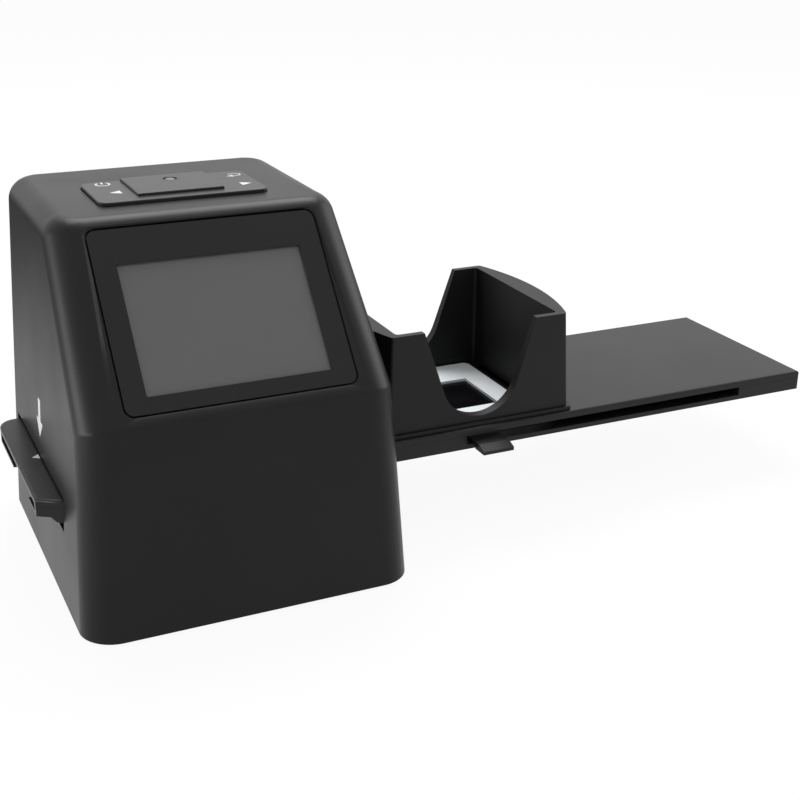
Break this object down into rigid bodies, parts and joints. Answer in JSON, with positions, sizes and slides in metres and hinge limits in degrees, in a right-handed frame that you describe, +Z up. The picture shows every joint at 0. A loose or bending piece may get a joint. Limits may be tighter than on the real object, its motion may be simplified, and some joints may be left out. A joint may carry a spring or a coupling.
{
  "type": "film negative scanner",
  "caption": "Compact desktop film scanner with a sloping screen, top keys and a side loading slide feeder with an open hopper and a sliding pusher.",
  "frame": {"origin": "middle of the flat underside of the bottom cover", "axes": "+X along the slide feeder, out of the right side of the scanner, +Y from the front to the back, +Z up"},
  "size_m": [0.2532, 0.105, 0.1045],
  "materials": {
    "housing_black": "satin moulded plastic",
    "guide_black": "plain black moulding",
    "rubber_black": "matt",
    "screw_steel": "blackened steel",
    "window_gloss": "high gloss, smoke tinted",
    "display_glass": "polished",
    "bracket_steel": "stamped",
    "key_dark": "satin",
    "lens_clear": "clear moulding",
    "circuit_board": "green solder mask",
    "switch_black": "plain",
    "opal_white": "opal",
    "reflector_white": "white moulding",
    "optical_glass": "polished",
    "tray_black": "satin moulded plastic",
    "hopper_black": "satin moulded plastic",
    "slide_white": "semi matt white",
    "film_dark": "processed film"
  },
  "bodies": {
    "scanner": {"backlight_leds": "opal_white", "board_chips": "switch_black", "board_screws": "screw_steel", "bottom_cover": "housing_black", "button_board": "circuit_board", "button_switches": "switch_black", "camera_bracket": "guide_black", "camera_lens": "optical_glass", "card_socket": "bracket_steel", "detent_springs": "bracket_steel", "diffuser": "opal_white", "housing_screws": "screw_steel", "housing_shell": "housing_black", "image_sensor": "switch_black", "lcd_frame": "bracket_steel", "lcd_panel": "display_glass", "led_board": "circuit_board", "lens_barrel": "guide_black", "light_box": "reflector_white", "main_board": "circuit_board", "rubber_feet": "rubber_black", "screen_window": "window_gloss", "sensor_board": "circuit_board", "status_led": "lens_clear", "tunnel_floor": "guide_black", "tunnel_roof": "guide_black", "usb_socket": "bracket_steel", "video_jack": "switch_black"},
    "power_key": {"power_key": "key_dark"},
    "left_key": {"left_key": "key_dark"},
    "right_key": {"right_key": "key_dark"},
    "mode_key": {"mode_key": "key_dark"},
    "ok_key": {"ok_key": "key_dark", "status_lens": "lens_clear"},
    "slide_feeder": {"tray_upper_shell": "tray_black", "tray_lower_shell": "tray_black", "tray_screws": "screw_steel", "hopper": "hopper_black"},
    "pusher": {"pusher": "tray_black"},
    "mounted_slide": {"slide_mount_base": "slide_white", "slide_mount_cover": "slide_white", "slide_film": "film_dark"}
  },
  "joints": [
    {"name": "feeder_slide", "type": "slide", "parent": "scanner", "child": "slide_feeder", "axis": [1, 0, 0], "range_m": [0, 0.1]},
    {"name": "pusher_slide", "type": "slide", "parent": "slide_feeder", "child": "pusher", "axis": [1, 0, 0], "range_m": [0, 0.088]},
    {"name": "slide_lift", "type": "slide", "parent": "slide_feeder", "child": "mounted_slide", "axis": [0, 0, 1], "range_m": [0, 0.04]},
    {"name": "power_key_press", "type": "slide", "parent": "scanner", "child": "power_key", "axis": [0, 0, -1], "range_m": [0, 0.0005], "stiffness_N_per_m": 800, "springref_m": -0.0002},
    {"name": "left_key_press", "type": "slide", "parent": "scanner", "child": "left_key", "axis": [0, 0, -1], "range_m": [0, 0.0005], "stiffness_N_per_m": 800, "springref_m": -0.0002},
    {"name": "right_key_press", "type": "slide", "parent": "scanner", "child": "right_key", "axis": [0, 0, -1], "range_m": [0, 0.0005], "stiffness_N_per_m": 800, "springref_m": -0.0002},
    {"name": "mode_key_press", "type": "slide", "parent": "scanner", "child": "mode_key", "axis": [0, 0, -1], "range_m": [0, 0.0005], "stiffness_N_per_m": 800, "springref_m": -0.0002},
    {"name": "ok_key_press", "type": "slide", "parent": "scanner", "child": "ok_key", "axis": [0, 0, -1], "range_m": [0, 0.0005], "stiffness_N_per_m": 800, "springref_m": -0.0002}
  ]
}
